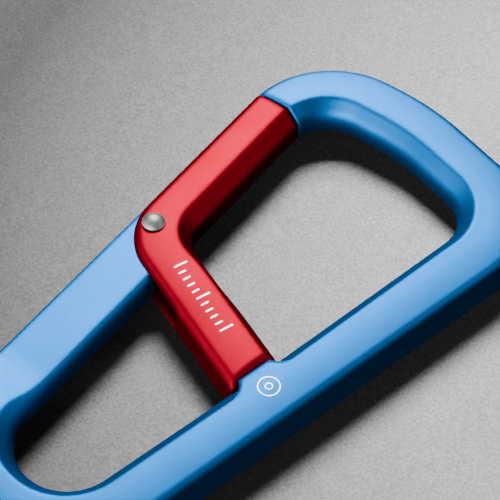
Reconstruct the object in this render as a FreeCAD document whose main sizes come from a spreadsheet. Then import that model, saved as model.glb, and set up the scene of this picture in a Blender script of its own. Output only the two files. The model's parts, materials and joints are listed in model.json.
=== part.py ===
import FreeCAD, Part
import math
import os

import Sketcher

from FreeCAD import Placement, Rotation, Vector

# Two-compartment key carabiner, lying flat: X across, Y along its length, Z through the plate.
# The frame is one machined plate that is open on its left side between the hinge and the nose.
# An elbow-shaped gate closes that gap with one arm and divides the loop with its other arm.
# A sprung plunger in the hinge end of the frame pushes the gate shut.

doc = FreeCAD.newDocument("key_carabiner")

# ---------------------------------------------------------------------------------------------
# Driving dimensions, in millimetres and degrees
# ---------------------------------------------------------------------------------------------
SIZES = {
    "plate_thickness": 6.8,
    "base_height": 0.93,
    "pivot_x": -15.6,
    "pivot_y": 1.96,
    # frame outline, measured from the pivot
    "rail_lean": 6.7,
    "rail_outer": 3.03,
    "right_outer": 34.45,
    "right_lean": 6.6,
    "top_reach": 41.75,
    "top_slope": 8.0,
    "top_round": 38.0,
    "top_left_round": 13.5,
    "top_right_round": 13.0,
    "crown_x": 13.0,
    "bottom_reach": 45.3,
    "bottom_outer_round": 14.8,
    "outer_bevel": 0.9,
    # crown: the faces fall away toward the outer rim along an arc
    "crown_reach": 4.4,
    "crown_radius": 32.0,
    "crown_start": 1.0,
    # openings of the frame: the edge where the top face ends, and the bevel below it
    "inner_bevel": 2.1,
    "left_crest": 3.08,
    "bottom_crest": 39.2,
    "seat_crest_x": 27.75,
    "seat_crest_y": 8.0,
    "top_crest": 35.6,
    "nose_crest": 1.0,
    "bottom_round": 9.0,
    "foot_round": 2.5,
    "upper_right_lean": 5.5,
    "lower_right_lean": 7.0,
    "right_blend": 60.0,
    "arch_x": 13.5,
    "arch_rise": 8.0,
    "arch_fall": 7.5,
    "arch_round": 30.0,
    "arch_left_round": 8.0,
    "arch_right_round": 8.5,
    # hinge end of the frame
    "relief_depth": 1.2,
    "relief_end": 26.0,
    "relief_round": 21.0,
    "hub_radius": 3.2,
    "hub_corner": 1.6,
    "neck_reach": 1.2,
    "tongue_inset": 3.8,
    "nose_radius": 27.2,
    "edge_break": 0.4,
    # seat for the end of the dividing arm
    "seat_upper": 2.55,
    "seat_lower": 2.35,
    "seat_recess": 0.25,
    "seat_depth": 1.9,
    "seat_round": 4.0,
    # gate
    "gate_lean": 7.1,
    "arm_drop": 15.5,
    "gate_outer": 3.0,
    "gate_inner": 4.2,
    "arm_upper": 2.75,
    "arm_lower": 4.3,
    "seat_gap": 0.05,
    "gate_bevel": 1.05,
    "gate_deep_bevel": 2.1,
    "elbow_round": 9.0,
    "elbow_inner_round": 3.9,
    "gate_radius": 27.0,
    "cheek_thickness": 1.15,
    "open_angle": 28.0,
    "slot_clearance": 0.08,
    # pivot rivet
    "rivet_radius": 1.0,
    "rivet_hole": 1.04,
    "flange_radius": 1.54,
    "flange_thickness": 0.18,
    "dome_radius": 1.53,
    "dome_height": 0.72,
    "head_gap": 0.03,
    # closing spring and plunger
    "plunger_radius": 0.95,
    "plunger_length": 5.0,
    "bore_radius": 1.05,
    "bore_depth": 12.0,
    "plunger_tilt": 14.0,
    "plunger_tip_x": 4.0,
    "plunger_tip_y": 3.5,
    "wire_radius": 0.15,
    "coil_radius": 0.72,
    "coil_turns": 9.0,
    "coil_gap": 0.05,
}

sheet = doc.addObject("Spreadsheet::Sheet", "Dimensions")
for row, (alias, number) in enumerate(SIZES.items(), start=1):
    sheet.set(f"A{row}", alias)
    sheet.set(f"B{row}", str(number))
    sheet.setAlias(f"B{row}", alias)
doc.recompute()


def size(alias):
    return float(getattr(sheet, alias))


PIVOT = Vector(size("pivot_x"), size("pivot_y"), 0)
BOTTOM = size("base_height")
TOP = BOTTOM + size("plate_thickness")
MIDDLE = BOTTOM + size("plate_thickness") / 2


# ---------------------------------------------------------------------------------------------
# Plane geometry
# ---------------------------------------------------------------------------------------------
def heading(degrees):
    """Unit vector at an angle from +X."""
    return Vector(math.cos(math.radians(degrees)), math.sin(math.radians(degrees)), 0)


def side_line(direction, distance):
    """Line whose left-hand side lies at a signed distance from the pivot, as (point, heading)."""
    left = heading(direction + 90)
    return PIVOT + left * distance, heading(direction)


def meet(first, second):
    """Where two lines (point, heading) cross."""
    (p, d), (q, e) = first, second
    gap = q - p
    along = (gap.x * e.y - gap.y * e.x) / (d.x * e.y - d.y * e.x)
    return p + d * along


def rounded(corners):
    """Closed outline through corners (point, radius): straight edges joined by tangent arcs."""
    stops = []
    for index, (corner, radius) in enumerate(corners):
        before = corners[index - 1][0] - corner
        after = corners[(index + 1) % len(corners)][0] - corner
        before.normalize()
        after.normalize()
        if radius == 0:
            stops.append((corner, None, corner))
            continue
        half = before.getAngle(after) / 2
        middle = before + after
        middle.normalize()
        reach = radius / math.tan(half)
        nearest = corner + middle * (radius / math.sin(half) - radius)
        stops.append((corner + before * reach, nearest, corner + after * reach))
    edges = []
    for index, (start, nearest, end) in enumerate(stops):
        if nearest is not None:
            edges.append(Part.Arc(start, nearest, end))
        edges.append(Part.LineSegment(end, stops[(index + 1) % len(stops)][0]))
    return edges


def path(*pieces):
    """Open or closed chain: points joined by lines, with (middle, end) pairs as arcs."""
    edges = []
    here = pieces[0]
    for piece in pieces[1:]:
        if isinstance(piece, tuple):
            edges.append(Part.Arc(here, piece[0], piece[1]))
            here = piece[1]
        else:
            edges.append(Part.LineSegment(here, piece))
            here = piece
    return edges


def on_circle(radius, degrees):
    return PIVOT + heading(degrees) * radius


def rail_point(across, along):
    """Point in the hinge rail's own axes: across it to the right, and along it from the pivot."""
    lean = size("rail_lean")
    return PIVOT + heading(lean) * across + heading(lean + 90) * along


# ---------------------------------------------------------------------------------------------
# Feature helpers
# ---------------------------------------------------------------------------------------------
def new_body(name):
    body = doc.addObject("PartDesign::Body", name)
    body.Label = name
    return body


def plane_of(body, role):
    return next(item for item in body.Origin.OriginFeatures if item.Role == role)


def sketch_on(body, name, role, edges, height=None):
    """Sketch on one of the body's own planes, lifted by a height expression."""
    sketch = body.newObject("Sketcher::SketchObject", name)
    sketch.AttachmentSupport = [(plane_of(body, role), "")]
    sketch.MapMode = "FlatFace"
    if height:
        sketch.setExpression("AttachmentOffset.Base.z", height)
    for edge in edges:
        sketch.addGeometry(edge, False)
    doc.recompute()
    return sketch


def plate_pad(body, name, sketch):
    pad = body.newObject("PartDesign::Pad", name)
    pad.Profile = sketch
    pad.setExpression("Length", "Dimensions.plate_thickness")
    doc.recompute()
    return pad


def cut_through(body, name, sketch, reverse=True):
    """Pocket through everything, checked to remove material."""
    before = body.Shape.Volume
    pocket = body.newObject("PartDesign::Pocket", name)
    pocket.Profile = sketch
    pocket.Type = 1
    pocket.Reversed = reverse
    doc.recompute()
    if body.Shape.Volume >= before:
        raise RuntimeError(f"{name} cuts nothing")
    return pocket


def bevel(body, name, base, wanted, alias):
    """Chamfer on the edges that the test picks out."""
    names = []
    for index, edge in enumerate(base.Shape.Edges, start=1):
        if wanted(edge):
            names.append(f"Edge{index}")
    if not names:
        raise RuntimeError(f"{name} finds no edge")
    chamfer = body.newObject("PartDesign::Chamfer", name)
    chamfer.Base = (base, names)
    chamfer.setExpression("Size", f"Dimensions.{alias}")
    doc.recompute()
    if "Invalid" in chamfer.State or chamfer.Shape.isNull():
        raise RuntimeError(f"{name} failed on {len(names)} edges")
    return chamfer


def edge_middle(edge):
    return edge.valueAt((edge.FirstParameter + edge.LastParameter) / 2)


def on_a_face(edge):
    """True for an edge that lies in the front or the back face of the plate."""
    box = edge.BoundBox
    return any(abs(box.ZMin - level) < 1e-4 and abs(box.ZMax - level) < 1e-4 for level in (BOTTOM, TOP))


def from_pivot(point):
    return math.hypot(point.x - PIVOT.x, point.y - PIVOT.y)


def follows(outline):
    """Test for edges in the plate's faces that lie on a plane outline."""
    wire = Part.Wire([piece.toShape() for piece in outline])

    def test(edge):
        if not on_a_face(edge):
            return False
        spots = [edge_middle(edge), edge.Vertexes[0].Point, edge.Vertexes[-1].Point]
        flat = [Part.Vertex(Vector(spot.x, spot.y, 0)) for spot in spots]
        return all(wire.distToShape(spot)[0] < 1e-3 for spot in flat)

    return test


def crown_cut(body, name, start, along, spine, face, outward):
    """Let a face fall away toward the rim that the spine follows, its outer side on the right."""
    inward = along.cross(Vector(0, 0, 1)) * -1
    radius = size("crown_radius")
    reach = size("crown_reach")
    rim = -0.6    # a little outside the outline
    lift = 0.6    # and above the face, so that the cut is clean
    first = math.sin(math.radians(size("crown_start")))
    last = first + (reach - rim) / radius
    centre = Vector(reach + radius * first, -radius * math.sqrt(1 - first**2), 0)

    def on_arc(lean):
        return centre + Vector(-lean, math.sqrt(1 - lean**2), 0) * radius

    track = sketch_on(body, name + "Spine", "XY_Plane", spine)
    track.AttachmentOffset = Placement(Vector(0, 0, face), Rotation())
    section = sketch_on(body, name + "Section", "XY_Plane", path(
        on_arc(first),
        (on_arc((first + last) / 2), on_arc(last)),
        Vector(rim, lift, 0),
        Vector(reach, lift, 0),
        on_arc(first),
    ))
    upward = Vector(0, 0, outward)
    turn = Rotation(inward, upward, inward.cross(upward), "ZXY")
    section.AttachmentOffset = Placement(Vector(start.x, start.y, face), turn)
    doc.recompute()
    before = body.Shape.Volume
    sweep = body.newObject("PartDesign::SubtractivePipe", name)
    sweep.Profile = section
    sweep.Spine = track
    doc.recompute()
    if body.Shape.isNull() or body.Shape.Volume >= before:
        raise RuntimeError(f"{name} cuts nothing")
    return sweep


# ---------------------------------------------------------------------------------------------
# Frame
# ---------------------------------------------------------------------------------------------
RAIL_UP = 90 + size("rail_lean")
RIGHT_UP = 90 - size("right_lean")


def right_wall():
    return PIVOT + Vector(size("right_outer"), 0, 0), heading(RIGHT_UP)


def outer_outline():
    left = side_line(RAIL_UP, size("rail_outer"))
    floor = (PIVOT - Vector(0, size("bottom_reach"), 0), heading(0))
    crown = PIVOT + Vector(size("crown_x"), size("top_reach"), 0)
    rising = (crown, heading(size("top_slope")))
    falling = (crown, heading(-size("top_slope")))
    return rounded([
        (meet(left, floor), size("bottom_outer_round")),
        (meet(right_wall(), floor), size("bottom_outer_round")),
        (meet(right_wall(), falling), size("top_right_round")),
        (crown, size("top_round")),
        (meet(left, rising), size("top_left_round")),
    ])


def inner_outline():
    """Wall of the merged openings, one bevel's width inside the edge of the faces."""
    width = size("inner_bevel")
    seat = PIVOT + Vector(size("seat_crest_x") - width, -size("seat_crest_y"), 0)
    rail = side_line(RAIL_UP, -size("left_crest") - width)
    floor = (PIVOT - Vector(0, size("bottom_crest") - width, 0), heading(0))
    lower_right = (seat, heading(90 - size("lower_right_lean")))
    upper_right = (seat, heading(90 - size("upper_right_lean")))
    arch = PIVOT + Vector(size("arch_x"), size("top_crest") - width, 0)
    rising = (arch, heading(size("arch_rise")))
    falling = (arch, heading(-size("arch_fall")))
    nose = (PIVOT + Vector(width - size("nose_crest"), 0, 0), heading(90))
    in_gap = (PIVOT + Vector(0, 5.0, 0), heading(0))
    gap_round = 3.0
    return rounded([
        (meet(rail, floor), size("bottom_round") - width),
        (meet(lower_right, floor), size("bottom_round") - width),
        (seat, size("right_blend")),
        (meet(upper_right, falling), size("arch_right_round") - width),
        (arch, size("arch_round") - width),
        (meet(nose, rising), size("arch_left_round") - width),
        (nose[0] + Vector(0, 14.0, 0), gap_round),
        (meet(rail, in_gap), gap_round),
    ])


def tongue_line(turn=0.0, extra=0.0):
    """Upper edge of the tongue beside the hub, parallel to the dividing arm, turned with the gate."""
    return side_line(-size("arm_drop") + turn, -size("tongue_inset") + extra)


def gap_outline():
    """Region cleared for the gate: nose end, open side, and round the hinge tongue."""
    hub = size("hub_radius")
    neck = size("neck_reach")
    nose = size("nose_radius")
    neck_line = (rail_point(neck, 0), heading(RAIL_UP))
    neck_corner = meet(neck_line, tongue_line())
    hub_foot = rail_point(neck, -math.sqrt(hub**2 - neck**2))
    inside = meet(tongue_line(), (rail_point(8.0, 0), heading(RAIL_UP)))
    outer = size("rail_outer")
    corner = size("hub_corner")
    lean_in = corner * (1 - math.sqrt(0.5))
    nose_inner, nose_middle, nose_outer = 78, 92, 110
    outside = 9.0
    return path(
        on_circle(nose, nose_inner),
        (on_circle(nose, nose_middle), on_circle(nose, nose_outer)),
        rail_point(-outside, hub - corner),
        rail_point(-outer, hub - corner),
        (rail_point(lean_in - outer, hub - lean_in), rail_point(corner - outer, hub)),
        rail_point(0, hub),
        (rail_point(hub, 0), hub_foot),
        neck_corner,
        inside,
        PIVOT + Vector(9.5, 5.0, 0),
        on_circle(nose, nose_inner),
    )


def relief_profile(face, outward):
    """Side view of the milled relief of one face: flat, then an S-shaped ramp back up."""
    depth = size("relief_depth")
    radius = size("relief_round")
    turn = math.acos(1 - depth / (2 * radius))
    run = radius * math.sin(turn)
    low = face - outward * depth
    start = PIVOT.y - size("relief_end")
    end = start - 2 * run
    half = Vector(start - run, low + outward * depth / 2, 0)
    bow = radius * math.sin(turn / 2)
    sink = outward * (radius - radius * math.cos(turn / 2))
    beyond = face + outward * 2.0    # clear of the plate
    back = PIVOT.y + 12.0    # past the hinge, inside the gate's gap
    return path(
        Vector(back, low, 0),
        Vector(start, low, 0),
        (Vector(start - bow, low + sink, 0), half),
        (Vector(end + bow, face - sink, 0), Vector(end, face, 0)),
        Vector(end, beyond, 0),
        Vector(back, beyond, 0),
        Vector(back, low, 0),
    )


def seat_point(outward, along):
    """Point beside the seat: outward into the opening from the wall, and along the rail."""
    width = size("inner_bevel")
    base = PIVOT + Vector(size("seat_crest_x") - width, -size("seat_crest_y"), 0)
    return base - heading(RIGHT_UP - 90) * outward + heading(RIGHT_UP) * along


def seat_block():
    """Plate-thick block that fills the bevel where the gate's end lands.

    Its sides run out along the rail on arcs that are tangent to the edge of the top face.
    """
    sink = 0.02
    face = -size("seat_recess") - sink
    depth = size("seat_depth")
    radius = size("seat_round")
    back = face - depth
    buried = back - 1.5    # inside the rail
    upper = size("seat_upper")
    lower = -size("seat_lower")
    sweep = math.acos(1 - depth / radius)
    run = radius * math.sin(sweep)
    half_run = run - radius * math.sin(sweep / 2)
    half_rise = back + radius * (1 - math.cos(sweep / 2))
    return path(
        seat_point(face, lower),
        seat_point(face, upper),
        (seat_point(half_rise, upper + half_run), seat_point(back, upper + run)),
        seat_point(buried, upper + run),
        seat_point(buried, lower - run),
        seat_point(back, lower - run),
        (seat_point(half_rise, lower - half_run), seat_point(face, lower)),
    )


def seat_notch():
    """Shallow cut that sets the seat back from the wall."""
    face = -size("seat_recess")
    open_side = 3.0
    upper = size("seat_upper") + size("seat_depth")
    lower = -size("seat_lower") - size("seat_depth") - 0.1
    return path(
        seat_point(face, lower),
        seat_point(open_side, lower),
        seat_point(open_side, upper),
        seat_point(face, upper),
        seat_point(face, lower),
    )


def plunger_axis():
    """Tip of the plunger with the gate shut, and the direction in which it pushes."""
    tip = rail_point(size("plunger_tip_x"), -size("plunger_tip_y"))
    push = heading(RAIL_UP - size("plunger_tilt"))
    return Vector(tip.x, tip.y, MIDDLE), push


def round_feet(body, base, outline):
    """Fillet where the inner bevels meet the wall, on both sides of the plate."""
    wire = Part.Wire([piece.toShape() for piece in outline])
    feet = (TOP - size("inner_bevel"), BOTTOM + size("inner_bevel"))
    names = []
    for index, edge in enumerate(base.Shape.Edges, start=1):
        spot = edge_middle(edge)
        level = min(abs(spot.z - foot) for foot in feet)
        flat = Part.Vertex(Vector(spot.x, spot.y, 0))
        if level < 1e-3 and wire.distToShape(flat)[0] < 1e-3:
            names.append(f"Edge{index}")
    fillet = body.newObject("PartDesign::Fillet", "FootRound")
    fillet.Base = (base, names)
    fillet.setExpression("Radius", "Dimensions.foot_round")
    doc.recompute()
    if "Invalid" in fillet.State or fillet.Shape.isNull():
        raise RuntimeError(f"FootRound failed on {len(names)} edges")
    return fillet


def make_frame():
    body = new_body("frame")
    outer = outer_outline()
    inner = inner_outline()
    rim = sketch_on(body, "OuterOutline", "XY_Plane", outer, "Dimensions.base_height")
    blank = plate_pad(body, "Plate", rim)
    bevel(body, "OuterBevel", blank, on_a_face, "outer_bevel")
    start = outer[0].StartPoint
    for name, face, outward in (("FrontCrown", TOP, 1), ("BackCrown", BOTTOM, -1)):
        crown_cut(body, name, start, heading(RAIL_UP + 180), outer, face, outward)
    opened = cut_through(body, "Openings", sketch_on(body, "InnerOutline", "XY_Plane", inner))
    bevelled = bevel(body, "InnerBevel", opened, follows(inner), "inner_bevel")
    round_feet(body, bevelled, inner)
    seat = sketch_on(body, "SeatOutline", "XY_Plane", seat_block(), "Dimensions.base_height")
    plate_pad(body, "Seat", seat)
    cut_through(body, "SeatNotch", sketch_on(body, "NotchOutline", "XY_Plane", seat_notch()))
    gap = sketch_on(body, "GapOutline", "XY_Plane", gap_outline())
    cleared = cut_through(body, "GateGap", gap)

    def nose_end(edge):
        return on_a_face(edge) and abs(from_pivot(edge_middle(edge)) - size("nose_radius")) < 0.01

    bevel(body, "NoseBreak", cleared, nose_end, "edge_break")
    for name, face, outward in (("FrontRelief", TOP, 1), ("BackRelief", BOTTOM, -1)):
        profile = sketch_on(body, name + "Profile", "YZ_Plane", relief_profile(face, outward))
        middle_of_loop = PIVOT.x + 13.0
        profile.AttachmentOffset = Placement(Vector(0, 0, middle_of_loop), Rotation())
        cut_through(body, name, profile, reverse=False)
    hole = [Part.Circle(PIVOT, Vector(0, 0, 1), size("rivet_hole"))]
    hole_sketch = sketch_on(body, "RivetHoleCentre", "XY_Plane", hole)
    hole_sketch.addConstraint(Sketcher.Constraint("Radius", 0, size("rivet_hole")))
    hole_sketch.setExpression("Constraints[0]", "Dimensions.rivet_hole")
    cut_through(body, "RivetHole", hole_sketch)
    tip, push = plunger_axis()
    bore = body.newObject("PartDesign::SubtractiveCylinder", "SpringBore")
    bore.setExpression("Radius", "Dimensions.bore_radius")
    bore.setExpression("Height", "Dimensions.bore_depth")
    bore.Placement = Placement(tip - push * size("bore_depth"), Rotation(Vector(0, 0, 1), push))
    doc.recompute()
    return body


# ---------------------------------------------------------------------------------------------
# Gate
# ---------------------------------------------------------------------------------------------
GATE_UP = 90 + size("gate_lean")
ARM_OUT = -size("arm_drop")


def end_line():
    """End face of the dividing arm, parallel to the seat on the right rail."""
    return seat_point(size("seat_gap") - size("seat_recess"), 0), heading(RIGHT_UP)


def gate_outline():
    outer = side_line(GATE_UP, size("gate_outer"))
    inner = side_line(GATE_UP, -size("gate_inner"))
    upper = side_line(ARM_OUT, size("arm_upper"))
    lower = side_line(ARM_OUT, -size("arm_lower"))
    beyond = (PIVOT + Vector(0, size("gate_radius") + 2.0, 0), heading(0))
    return rounded([
        (meet(outer, lower), size("elbow_round")),
        (meet(lower, end_line()), 0),
        (meet(upper, end_line()), 0),
        (meet(upper, inner), size("elbow_inner_round")),
        (meet(inner, beyond), 0),
        (meet(outer, beyond), 0),
    ])


def tip_trim():
    """Everything past the gate's tip radius."""
    radius = size("gate_radius")
    far = radius + 8.0
    inner_side, middle, outer_side = 75, 92, 112
    return path(
        on_circle(radius, inner_side),
        (on_circle(radius, middle), on_circle(radius, outer_side)),
        on_circle(far, outer_side),
        on_circle(far, inner_side),
        on_circle(radius, inner_side),
    )


def deep_bevel_outline(rise):
    """Cut beside the gate's inner edge at a height above the foot of the deep bevel.

    The cut is one with the wall at the foot, widens by 45 degrees along the closing arm and
    fades out along the dividing arm.
    """
    margin = 0.3
    share = 0.75 if rise > 0 else 1.0
    past_tip = 32.0
    fade_start, fade_end = 4.0, 24.0    # along the dividing arm
    arm = heading(ARM_OUT)
    closing = side_line(GATE_UP, -size("gate_inner") + rise)
    far = side_line(ARM_OUT, size("arm_upper") + margin)[0] + arm * fade_end
    near = side_line(ARM_OUT, size("arm_upper") - rise * share)[0] + arm * fade_start
    fading = far - near
    fading.normalize()
    outside = PIVOT + Vector(30.0, past_tip, 0)
    return rounded([
        (closing[0] + closing[1] * past_tip, 0),
        (meet(closing, (near, fading)), size("elbow_inner_round") + rise),
        (far, 0),
        (outside, 0),
    ])


def slot_outline():
    """Room for the tongue in every position from shut to fully open."""
    play = size("slot_clearance")
    hub = size("hub_radius") + play
    neck = size("neck_reach") + play
    spare_turn = 0.5
    wall_gap = 0.15
    outside = 9.0
    turn = size("open_angle") + spare_turn
    lean = size("rail_lean") + turn
    wall = size("left_crest") + size("inner_bevel") + wall_gap
    neck_line = (PIVOT + heading(lean) * neck, heading(lean + 90))
    wall_line = (PIVOT + heading(lean) * wall, heading(lean + 90))
    floor = tongue_line(turn, play)
    foot = neck_line[0] - neck_line[1] * math.sqrt(hub**2 - neck**2)
    side = meet(floor, wall_line)
    return path(
        rail_point(-outside, hub),
        rail_point(0, hub),
        (on_circle(hub, 30), foot),
        meet(neck_line, floor),
        side,
        side - wall_line[1] * 11.0,
        rail_point(-outside, -14.0),
        rail_point(-outside, hub),
    )


def make_gate():
    body = new_body("gate")
    outline = gate_outline()
    blank = sketch_on(body, "GateOutline", "XY_Plane", outline, "Dimensions.base_height")
    plate_pad(body, "GatePlate", blank)
    trimmed = cut_through(body, "TipTrim", sketch_on(body, "TipArc", "XY_Plane", tip_trim()))

    def at_tip(edge):
        return abs(from_pivot(edge_middle(edge)) - size("gate_radius")) < 0.01

    def at_side(edge):
        return on_a_face(edge) and not at_tip(edge)

    sides = bevel(body, "SideBevel", trimmed, at_side, "gate_bevel")
    bevel(body, "TipBreak", sides, lambda edge: on_a_face(edge) and at_tip(edge), "edge_break")
    elbow = outline[0]
    past_ends = 40.0
    far_up = elbow.StartPoint + heading(GATE_UP) * past_ends
    far_out = elbow.EndPoint + heading(ARM_OUT) * past_ends
    rim = [
        Part.LineSegment(far_up, elbow.StartPoint),
        elbow,
        Part.LineSegment(elbow.EndPoint, far_out),
    ]
    for name, face, outward in (("FrontCrown", TOP, 1), ("BackCrown", BOTTOM, -1)):
        crown_cut(body, "Gate" + name, far_up, heading(GATE_UP + 180), rim, face, outward)
    foot = size("gate_deep_bevel")
    below_foot, above_crest = 0.3, 0.5
    for name, face, outward in (("Front", TOP, 1), ("Back", BOTTOM, -1)):
        sections = []
        for label, rise in (("Foot", -below_foot), ("Crest", foot + above_crest)):
            section = sketch_on(body, name + label, "XY_Plane", deep_bevel_outline(rise))
            height = face + outward * (rise - foot)
            section.AttachmentOffset = Placement(Vector(0, 0, height), Rotation())
            sections.append(section)
        before = body.Shape.Volume
        loft = body.newObject("PartDesign::SubtractiveLoft", name + "DeepBevel")
        loft.Profile = sections[0]
        loft.Sections = sections[1:]
        loft.Ruled = True
        doc.recompute()
        if body.Shape.Volume >= before:
            raise RuntimeError(f"{name} deep bevel cuts nothing")
    slot_sketch = sketch_on(body, "SlotOutline", "XY_Plane", slot_outline(),
                            "Dimensions.base_height + Dimensions.plate_thickness / 2")
    slot = body.newObject("PartDesign::Pocket", "TongueSlot")
    slot.Profile = slot_sketch
    slot.Midplane = True
    slot.setExpression("Length", "Dimensions.plate_thickness - 2 * Dimensions.cheek_thickness")
    hole = [Part.Circle(PIVOT, Vector(0, 0, 1), size("rivet_hole"))]
    hole_sketch = sketch_on(body, "GateHoleCentre", "XY_Plane", hole)
    hole_sketch.addConstraint(Sketcher.Constraint("Radius", 0, size("rivet_hole")))
    hole_sketch.setExpression("Constraints[0]", "Dimensions.rivet_hole")
    cut_through(body, "GateHole", hole_sketch)
    return body


# ---------------------------------------------------------------------------------------------
# Rivet, plunger and spring
# ---------------------------------------------------------------------------------------------
def revolve(body, name, sketch):
    turned = body.newObject("PartDesign::Revolution", name)
    turned.Profile = sketch
    turned.ReferenceAxis = (sketch, ["V_Axis"])
    turned.Angle = 360
    doc.recompute()
    return turned


def make_rivet():
    """Half section of the rivet: shank, and a flange under a dome at each end."""
    body = new_body("pivot_rivet")
    shank = size("rivet_radius")
    flange = size("flange_radius")
    dome = size("dome_radius")
    rise = size("dome_height")
    half = size("plate_thickness") / 2 + size("head_gap")
    rim = half + size("flange_thickness")
    ball = (dome**2 + rise**2) / (2 * rise)
    tilt = math.asin(dome / ball) / 2
    shoulder = Vector(ball * math.sin(tilt), rim + rise - ball + ball * math.cos(tilt), 0)
    mirrored = Vector(shoulder.x, -shoulder.y, 0)
    edges = path(
        Vector(0, -rim - rise, 0),
        (mirrored, Vector(dome, -rim, 0)),
        Vector(flange, -rim, 0),
        Vector(flange, -half, 0),
        Vector(shank, -half, 0),
        Vector(shank, half, 0),
        Vector(flange, half, 0),
        Vector(flange, rim, 0),
        Vector(dome, rim, 0),
        (shoulder, Vector(0, rim + rise, 0)),
        Vector(0, -rim - rise, 0),
    )
    revolve(body, "Rivet", sketch_on(body, "RivetSection", "XZ_Plane", edges))
    body.Placement = Placement(Vector(PIVOT.x, PIVOT.y, MIDDLE), Rotation())
    return body


def lying_along(point, direction):
    """Placement that stands a part's Z axis along a direction."""
    return Placement(point, Rotation(Vector(0, 0, 1), direction))


def make_plunger():
    """Round pin with a ball end, lying in the bore with its tip toward the gate."""
    body = new_body("spring_plunger")
    radius = size("plunger_radius")
    length = size("plunger_length")
    diagonal = radius * math.sqrt(0.5)
    edges = path(
        Vector(0, -length, 0),
        Vector(radius, -length, 0),
        Vector(radius, -radius, 0),
        (Vector(diagonal, diagonal - radius, 0), Vector(0, 0, 0)),
        Vector(0, -length, 0),
    )
    revolve(body, "Plunger", sketch_on(body, "PlungerSection", "XZ_Plane", edges))
    tip, push = plunger_axis()
    body.Placement = lying_along(tip, push)
    return body


def make_spring():
    """Helical compression spring between the bottom of the bore and the plunger."""
    body = new_body("gate_spring")
    wire = size("wire_radius")
    gap = size("coil_gap")
    room = size("bore_depth") - size("plunger_length") - 2 * (gap + wire)
    start = Vector(size("coil_radius"), 0, 0)
    section = sketch_on(body, "WireSection", "XZ_Plane", [Part.Circle(start, Vector(0, 0, 1), wire)])
    coil = body.newObject("PartDesign::AdditiveHelix", "Coil")
    coil.Profile = section
    coil.ReferenceAxis = (section, ["V_Axis"])
    coil.Mode = 0
    coil.Height = room
    coil.Pitch = room / size("coil_turns")
    doc.recompute()
    tip, push = plunger_axis()
    body.Placement = lying_along(tip - push * (size("bore_depth") - gap - wire), push)
    return body


PARTS = [make_frame(), make_gate(), make_rivet(), make_plunger(), make_spring()]
doc.recompute()

for item in doc.Objects:
    if "Invalid" in item.State or "Error" in item.State:
        raise RuntimeError(f"{item.Label} failed: {item.State}")
os.makedirs("parts", exist_ok=True)
for part in PARTS:
    shape = part.Shape
    if shape.isNull() or not shape.isValid() or len(shape.Solids) != 1:
        raise RuntimeError(f"{part.Label} has no single valid solid")
    shape.exportStep(f"parts/{part.Label}.step")
    print(f"{part.Label}: {shape.Volume:.1f} mm3")
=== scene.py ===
"""Looks of the key carabiner: studio scene, anodised and steel materials, etched marks."""
import json
import math

import bmesh
import bpy
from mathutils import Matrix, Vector
from mathutils.bvhtree import BVHTree


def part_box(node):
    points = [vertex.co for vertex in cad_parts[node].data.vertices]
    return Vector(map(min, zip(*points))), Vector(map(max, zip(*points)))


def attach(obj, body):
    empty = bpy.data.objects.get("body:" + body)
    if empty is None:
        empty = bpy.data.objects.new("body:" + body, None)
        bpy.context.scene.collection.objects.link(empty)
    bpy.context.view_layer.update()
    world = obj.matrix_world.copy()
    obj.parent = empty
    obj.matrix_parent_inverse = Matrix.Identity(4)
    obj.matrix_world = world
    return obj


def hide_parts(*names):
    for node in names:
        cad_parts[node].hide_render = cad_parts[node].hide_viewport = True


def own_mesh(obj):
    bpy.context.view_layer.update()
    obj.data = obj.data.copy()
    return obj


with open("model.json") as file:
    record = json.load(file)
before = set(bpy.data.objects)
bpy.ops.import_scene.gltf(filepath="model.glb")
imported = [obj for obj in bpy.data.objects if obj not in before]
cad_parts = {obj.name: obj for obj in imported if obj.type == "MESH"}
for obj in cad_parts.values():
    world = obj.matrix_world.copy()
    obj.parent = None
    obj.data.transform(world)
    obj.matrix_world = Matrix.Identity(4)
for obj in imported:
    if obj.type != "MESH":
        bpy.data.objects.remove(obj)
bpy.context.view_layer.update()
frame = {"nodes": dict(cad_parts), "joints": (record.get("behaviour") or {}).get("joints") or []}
MM = 0.001
UP = Vector((0.0, 0.0, 1.0))
FULL_TURN = 2.0 * math.pi


# ------------------------------------------------------------------------------------------
# Places taken from the frame
# ------------------------------------------------------------------------------------------
def joint_called(name):
    return next(joint for joint in frame["joints"] if joint["name"] == name)


AIM_PAST_PIVOT = (12.39, 5.43)

PIVOT = Vector(joint_called("gate_hinge")["pos_m"])
TOP_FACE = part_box("frame")[1].z
AIM = Vector((
    PIVOT.x + AIM_PAST_PIVOT[0] * MM,
    PIVOT.y + AIM_PAST_PIVOT[1] * MM,
    TOP_FACE,
))


# ------------------------------------------------------------------------------------------
# Camera
# ------------------------------------------------------------------------------------------
VIEW_AZIMUTH = 43.8
VIEW_ELEVATION = 52.0
VIEW_DISTANCE = 261.1 * MM
SENSOR_WIDTH = 36.0
LENS_LENGTH = 144.0
CLIP_NEAR = 0.01
CLIP_FAR = 5.0


def direction(azimuth, elevation):
    """Unit vector towards a place seen at this azimuth and elevation, on the camera's scale."""
    turn = math.radians(azimuth)
    rise = math.radians(elevation)
    return Vector((
        math.sin(turn) * math.cos(rise),
        -math.cos(turn) * math.cos(rise),
        math.sin(rise),
    ))


def aim_from(thing, azimuth, elevation, distance):
    """Place a camera or light out in this direction, pointing back at the aim point."""
    toward = direction(azimuth, elevation)
    thing.location = AIM + toward * distance
    thing.rotation_mode = "QUATERNION"
    thing.rotation_quaternion = (-toward).to_track_quat("-Z", "Y")
    bpy.context.scene.collection.objects.link(thing)


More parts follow.
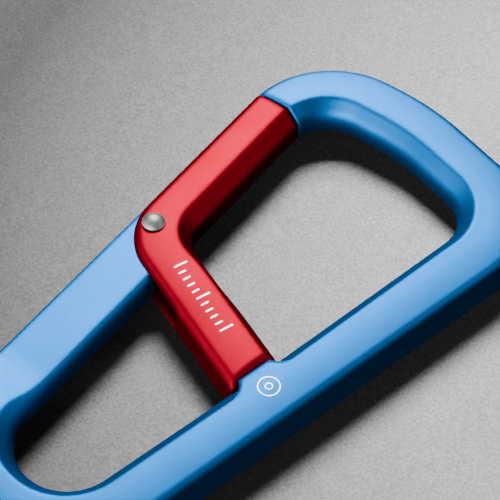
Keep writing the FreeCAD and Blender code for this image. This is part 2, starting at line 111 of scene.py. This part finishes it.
def make_camera():
    data = bpy.data.cameras.new("studio_camera")
    data.sensor_width = SENSOR_WIDTH
    data.lens = LENS_LENGTH
    data.clip_start = CLIP_NEAR
    data.clip_end = CLIP_FAR
    camera = bpy.data.objects.new("studio_camera", data)
    aim_from(camera, VIEW_AZIMUTH, VIEW_ELEVATION, VIEW_DISTANCE)
    bpy.context.scene.camera = camera


# ------------------------------------------------------------------------------------------
# Materials: noise scales are in repeats per metre
# ------------------------------------------------------------------------------------------
BLUE_DEEP = (0.0, 0.127, 0.41, 1)
BLUE_LIGHT = (0.0, 0.143, 0.455, 1)
BLUE_RIM = (0.35, 0.5, 0.75, 1)
RED_DEEP = (0.25, 0.0, 0.012, 1)
RED_LIGHT = (0.28, 0.0, 0.015, 1)
RED_RIM = (0.6, 0.3, 0.32, 1)
SHADED_EDGE = 1.1 * MM
GRAIN_DEPTH = 0.02 * MM
GRAIN_STRENGTH = 0.3
FRAME_EDGE = 0.7 * MM
GATE_EDGE = 0.6 * MM
EDGE_SEGMENTS = 4
EDGE_ANGLE = math.radians(24.0)


def new_material(name):
    material = bpy.data.materials.new(name)
    material.use_nodes = True
    tree = material.node_tree
    shader = tree.nodes["Principled BSDF"]
    return material, tree, shader


def noise(tree, scale, detail=2.0, roughness=0.5):
    coordinates = tree.nodes.new("ShaderNodeTexCoord")
    texture = tree.nodes.new("ShaderNodeTexNoise")
    texture.inputs["Scale"].default_value = scale
    texture.inputs["Detail"].default_value = detail
    texture.inputs["Roughness"].default_value = roughness
    tree.links.new(coordinates.outputs["Object"], texture.inputs["Vector"])
    return texture


def ramp_between(tree, factor, low, high, low_at=0.3, high_at=0.7):
    ramp = tree.nodes.new("ShaderNodeValToRGB")
    ramp.color_ramp.elements[0].position = low_at
    ramp.color_ramp.elements[1].position = high_at
    ramp.color_ramp.elements[0].color = low
    ramp.color_ramp.elements[1].color = high
    tree.links.new(factor, ramp.inputs["Fac"])
    return ramp.outputs["Color"]


def grey(level):
    return (level, level, level, 1.0)


def anodised(name, deep, light, rim):
    """Bead-blasted aluminium under a dyed oxide layer, its edges softened in shading.

    The rim colour takes the place of white at grazing angles, so the walls stay dark.
    """
    material, tree, shader = new_material(name)
    grain = noise(tree, scale=6000.0, detail=3.0, roughness=0.6)
    cloud = noise(tree, scale=150.0, detail=3.0)
    tint = ramp_between(tree, cloud.outputs["Fac"], deep, light)
    tree.links.new(tint, shader.inputs["Base Color"])
    shader.inputs["Metallic"].default_value = 1.0
    shader.inputs["Specular Tint"].default_value = rim
    rough = ramp_between(tree, grain.outputs["Fac"], grey(0.46), grey(0.54))
    tree.links.new(rough, shader.inputs["Roughness"])
    edge = tree.nodes.new("ShaderNodeBevel")
    edge.samples = 8
    edge.inputs["Radius"].default_value = SHADED_EDGE
    bump = tree.nodes.new("ShaderNodeBump")
    bump.inputs["Strength"].default_value = GRAIN_STRENGTH
    bump.inputs["Distance"].default_value = GRAIN_DEPTH
    tree.links.new(edge.outputs["Normal"], bump.inputs["Normal"])
    tree.links.new(grain.outputs["Fac"], bump.inputs["Height"])
    tree.links.new(bump.outputs["Normal"], shader.inputs["Normal"])
    return material


def steel(name, level, roughness):
    material, tree, shader = new_material(name)
    grain = noise(tree, scale=5000.0, detail=3.0)
    tint = ramp_between(tree, grain.outputs["Fac"], grey(level * 0.92), grey(level))
    tree.links.new(tint, shader.inputs["Base Color"])
    shader.inputs["Metallic"].default_value = 1.0
    smooth = grey(roughness * 0.85)
    coarse = grey(roughness * 1.15)
    rough = ramp_between(tree, grain.outputs["Fac"], smooth, coarse)
    tree.links.new(rough, shader.inputs["Roughness"])
    return material


def etched(name):
    material, tree, shader = new_material(name)
    grain = noise(tree, scale=9000.0, detail=2.0)
    tint = ramp_between(tree, grain.outputs["Fac"], grey(0.9), grey(1.0))
    tree.links.new(tint, shader.inputs["Base Color"])
    shader.inputs["Metallic"].default_value = 1.0
    shader.inputs["Roughness"].default_value = 0.5
    return material


def dress(node, material, edge=0.0):
    """Give a node its material and, where an edge width is given, rounded edges.

    The node doesn't appear to diffuse rays, so no colour bleeds into the shadows round it.
    """
    part = frame["nodes"][node]
    part.data.materials.clear()
    part.data.materials.append(material)
    part.visible_diffuse = False
    if edge > 0.0:
        soft = part.modifiers.new("soft_edges", "BEVEL")
        soft.width = edge
        soft.segments = EDGE_SEGMENTS
        soft.limit_method = "ANGLE"
        soft.angle_limit = EDGE_ANGLE
        soft.harden_normals = True
        soft.miter_outer = "MITER_ARC"


# ------------------------------------------------------------------------------------------
# Floor and lights
# ------------------------------------------------------------------------------------------
FLOOR_REACH = 2.0
FAR_SIDE = 10.0 * MM
# The floor's colour has a painted pool of light: bright round this centre, with painted shade
# further out.
PAINTED_LIGHT_CENTRE = (0.048, 0.054, 0.0)
PAINTED_LIGHT_REACH = (0.17, 0.17, 0.17)
PAINTED_LIGHT_FALL = (0.34, 0.7)
SPECK_RANGE = (0.36, 0.62)
LIGHT_DISTANCE = 0.5
AMBIENT = 0.004


def multiply(tree, first, second):
    mix = tree.nodes.new("ShaderNodeMix")
    mix.data_type = "RGBA"
    mix.blend_type = "MULTIPLY"
    mix.inputs["Factor"].default_value = 1.0
    tree.links.new(first, mix.inputs["A"])
    tree.links.new(second, mix.inputs["B"])
    return mix.outputs["Result"]


def resting_slope():
    """Lean of the board that touches the rear rivet dome, at z = 0, and the far rail."""
    leans = []
    for vertex in frame["nodes"]["frame"].data.vertices:
        across = vertex.co.x - PIVOT.x
        if across > FAR_SIDE:
            leans.append(vertex.co.z / across)
    return min(leans)


def board_material(name):
    """Pale board with a fine speckle and a painted pool of light: its colour is painted darker
    away from the pool.
    """
    material, tree, shader = new_material(name)
    fine = noise(tree, scale=2600.0, detail=3.0, roughness=0.7)
    broad = noise(tree, scale=500.0, detail=4.0, roughness=0.6)
    speck = ramp_between(tree, fine.outputs["Fac"], grey(0.6), grey(1.0), *SPECK_RANGE)
    cloud = ramp_between(tree, broad.outputs["Fac"], grey(0.86), grey(1.0))
    # Painted shade: a round gradient darkens the board's colour away from a painted pool of
    # light.
    coordinates = tree.nodes.new("ShaderNodeTexCoord")
    place = tree.nodes.new("ShaderNodeMapping")
    place.vector_type = "TEXTURE"
    place.inputs["Location"].default_value = PAINTED_LIGHT_CENTRE
    place.inputs["Scale"].default_value = PAINTED_LIGHT_REACH
    tree.links.new(coordinates.outputs["Object"], place.inputs["Vector"])
    painted_falloff = tree.nodes.new("ShaderNodeTexGradient")
    painted_falloff.gradient_type = "SPHERICAL"
    tree.links.new(place.outputs["Vector"], painted_falloff.inputs["Vector"])
    painted_shade = ramp_between(tree, painted_falloff.outputs["Fac"], grey(0.15), grey(1.0), *PAINTED_LIGHT_FALL)
    tint = multiply(tree, multiply(tree, speck, cloud), painted_shade)
    tree.links.new(tint, shader.inputs["Base Color"])
    shader.inputs["Roughness"].default_value = 0.75
    shader.inputs["Specular IOR Level"].default_value = 0.3
    return material


def make_floor():
    """Board under the clip.

    The clip rests on its rear rivet dome and on the far rail, so the board leans by that
    small angle in the model's own axes. It doesn't appear to glossy rays, so the walls of
    the clip stay dark.
    """
    slope = resting_slope()
    corners = []
    for across, along in ((-1, -1), (1, -1), (1, 1), (-1, 1)):
        x = across * FLOOR_REACH
        corners.append((x, along * FLOOR_REACH, slope * (x - PIVOT.x)))
    mesh = bpy.data.meshes.new("studio_floor")
    mesh.from_pydata(corners, [], [(0, 1, 2, 3)])
    mesh.materials.append(board_material("floor_board_painted_light"))
    floor = bpy.data.objects.new("studio_floor", mesh)
    floor.visible_glossy = False
    bpy.context.scene.collection.objects.link(floor)


def area_light(name, azimuth, elevation, size, power, gloss_only=False):
    data = bpy.data.lights.new(name, "AREA")
    data.shape = "RECTANGLE"
    data.size, data.size_y = size
    data.energy = power
    light = bpy.data.objects.new(name, data)
    aim_from(light, azimuth, elevation, LIGHT_DISTANCE)
    if gloss_only:
        light.visible_diffuse = False
        data.cycles.max_bounces = 0


def make_lights():
    """One key light from behind, and three that only add gloss."""
    world = bpy.data.worlds.new("studio_world")
    world.use_nodes = True
    world.node_tree.nodes["Background"].inputs["Color"].default_value = grey(AMBIENT)
    bpy.context.scene.world = world
    area_light("key", 226.5, 46.0, size=(0.2, 0.2), power=4.25)
    area_light("front", 8.0, 24.0, size=(0.45, 0.08), power=4.5, gloss_only=True)
    area_light("left", -49.0, 20.0, size=(0.25, 0.12), power=0.75, gloss_only=True)
    area_light("side", 125.0, 36.0, size=(0.3, 0.1), power=0.42, gloss_only=True)


# ------------------------------------------------------------------------------------------
# Etched marks: plain graduation ticks on the gate and a plain double ring on the frame
# ------------------------------------------------------------------------------------------
MARK_LIFT = 0.012 * MM
MARK_DEPTH = 0.02 * MM
CLEAR_ABOVE = 1.0 * MM

TICK_LEAN = math.radians(-15.5)
TICKS_FROM_PIVOT = 7.9
TICKS_OFF_CENTRE = 1.35
TICK_COUNT = 11
TICK_STEP = 1.18
TICK_LONG = 1.9 * MM
TICK_SHORT = 1.05 * MM
TICK_WIDTH = 0.24 * MM
TICK_LONG_EVERY = 5
TICK_PIECES = 4

RING_PAST_PIVOT = (28.9, -8.4)
RING_RADII = (1.4, 0.45)
RING_WIDTH = 0.15 * MM
RING_POINTS = 64


def surface_of(node):
    """Ray target for a node's own mesh."""
    mesh = bmesh.new()
    mesh.from_mesh(frame["nodes"][node].data)
    tree = BVHTree.FromBMesh(mesh)
    mesh.free()
    return tree


def lay_on(tree, flat):
    """Raise plan points to just above the surface under them."""
    raised = []
    for point in flat:
        above = Vector((point.x, point.y, TOP_FACE + CLEAR_ABOVE))
        spot = tree.ray_cast(above, -UP)[0]
        raised.append(spot + UP * MARK_LIFT)
    return raised


def band_edges(points, width, closed):
    """Left and right edges of a flat band about a chain of plan points."""
    count = len(points)
    half = width / 2
    left = []
    right = []
    for index, point in enumerate(points):
        before = points[index - 1] if closed or index > 0 else point
        after = points[(index + 1) % count] if closed or index < count - 1 else point
        run = (after - before).normalized()
        side = Vector((-run.y, run.x, 0.0))
        left.append(point + side * half)
        right.append(point - side * half)
    return left, right


def add_band(mesh, tree, points, width, closed=False):
    left, right = band_edges(points, width, closed)
    left = [mesh.verts.new(spot) for spot in lay_on(tree, left)]
    right = [mesh.verts.new(spot) for spot in lay_on(tree, right)]
    count = len(points)
    for index in range(count if closed else count - 1):
        after = (index + 1) % count
        mesh.faces.new((left[index], right[index], right[after], left[after]))


def new_piece(name, mesh, material):
    """Turn a bmesh into an object with this material, and link it."""
    data = bpy.data.meshes.new(name)
    mesh.to_mesh(data)
    mesh.free()
    data.materials.append(material)
    piece = bpy.data.objects.new(name, data)
    bpy.context.scene.collection.objects.link(piece)
    return piece


def finish_mark(name, mesh, material, body):
    piece = new_piece(name, mesh, material)
    depth = piece.modifiers.new("depth", "SOLIDIFY")
    depth.thickness = MARK_DEPTH
    depth.offset = 0.0
    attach(piece, body)


def make_tick_marks(material):
    tree = surface_of("gate")
    along = Vector((math.cos(TICK_LEAN), math.sin(TICK_LEAN), 0.0))
    across = Vector((-along.y, along.x, 0.0))
    start = Vector((PIVOT.x, PIVOT.y, 0.0))
    start += along * TICKS_FROM_PIVOT * MM
    start -= across * TICKS_OFF_CENTRE * MM
    mesh = bmesh.new()
    for index in range(TICK_COUNT):
        reach = TICK_LONG if index % TICK_LONG_EVERY == 0 else TICK_SHORT
        foot = start + along * index * TICK_STEP * MM
        chain = []
        for share in range(TICK_PIECES + 1):
            chain.append(foot + across * reach * share / TICK_PIECES)
        add_band(mesh, tree, chain, TICK_WIDTH)
    finish_mark("gate_tick_marks", mesh, material, "gate_body")


def make_ring_mark(material):
    tree = surface_of("frame")
    right, up = RING_PAST_PIVOT
    centre = Vector((PIVOT.x + right * MM, PIVOT.y + up * MM, 0.0))
    mesh = bmesh.new()
    for radius in RING_RADII:
        ring = []
        for index in range(RING_POINTS):
            turn = FULL_TURN * index / RING_POINTS
            out = Vector((math.cos(turn), math.sin(turn), 0.0))
            ring.append(centre + out * radius * MM)
        add_band(mesh, tree, ring, RING_WIDTH, closed=True)
    finish_mark("frame_ring_mark", mesh, material, "frame_body")


# ------------------------------------------------------------------------------------------
# Closing spring: stands in for the rigid coil
# ------------------------------------------------------------------------------------------
WIRE_RADIUS = 0.15 * MM
COIL_RADIUS = 0.72 * MM
COIL_TURNS = 9.0
RINGS_PER_TURN = 24
WIRE_CORNERS = 10


def helix_mesh(foot, push, length):
    """Round wire wound about a line that starts at foot and runs along push."""
    side = push.cross(UP)
    steps = int(COIL_TURNS * RINGS_PER_TURN)
    mesh = bmesh.new()
    rings = []
    for index in range(steps + 1):
        share = index / steps
        turn = FULL_TURN * COIL_TURNS * share
        out = side * math.cos(turn) + UP * math.sin(turn)
        middle = foot + push * length * share + out * COIL_RADIUS
        ring = []
        for corner in range(WIRE_CORNERS):
            angle = FULL_TURN * corner / WIRE_CORNERS
            spot = middle + (out * math.cos(angle) + push * math.sin(angle)) * WIRE_RADIUS
            ring.append(mesh.verts.new(spot))
        rings.append(ring)
    for first, second in zip(rings, rings[1:]):
        for corner in range(WIRE_CORNERS):
            after = (corner + 1) % WIRE_CORNERS
            mesh.faces.new((first[corner], first[after], second[after], second[corner]))
    mesh.faces.new(list(reversed(rings[0])))
    mesh.faces.new(rings[-1])
    bmesh.ops.recalc_face_normals(mesh, faces=mesh.faces)
    return mesh


def make_spring(material):
    slide = joint_called("plunger_slide")
    push = -Vector(slide["axis"]).normalized()
    low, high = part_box("gate_spring")
    whole = (high.y - low.y) / abs(push.y)
    length = whole - 2.0 * WIRE_RADIUS
    foot = (low + high) / 2.0 - push * length / 2.0
    spring = new_piece("closing_spring", helix_mesh(foot, push, length), material)
    smooth = [True] * len(spring.data.polygons)
    spring.data.polygons.foreach_set("use_smooth", smooth)
    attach(spring, "frame_body")
    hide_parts("gate_spring")
    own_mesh(spring)


make_camera()
dress("frame", anodised("frame_anodised", BLUE_DEEP, BLUE_LIGHT, BLUE_RIM), FRAME_EDGE)
dress("gate", anodised("gate_anodised", RED_DEEP, RED_LIGHT, RED_RIM), GATE_EDGE)
dress("pivot_rivet", steel("rivet_steel", level=0.32, roughness=0.5))
dress("spring_plunger", steel("plunger_steel", level=0.55, roughness=0.25))
make_spring(steel("spring_steel", level=0.45, roughness=0.3))
MARK_WHITE = etched("etched_mark")
make_tick_marks(MARK_WHITE)
make_ring_mark(MARK_WHITE)
make_floor()
make_lights()
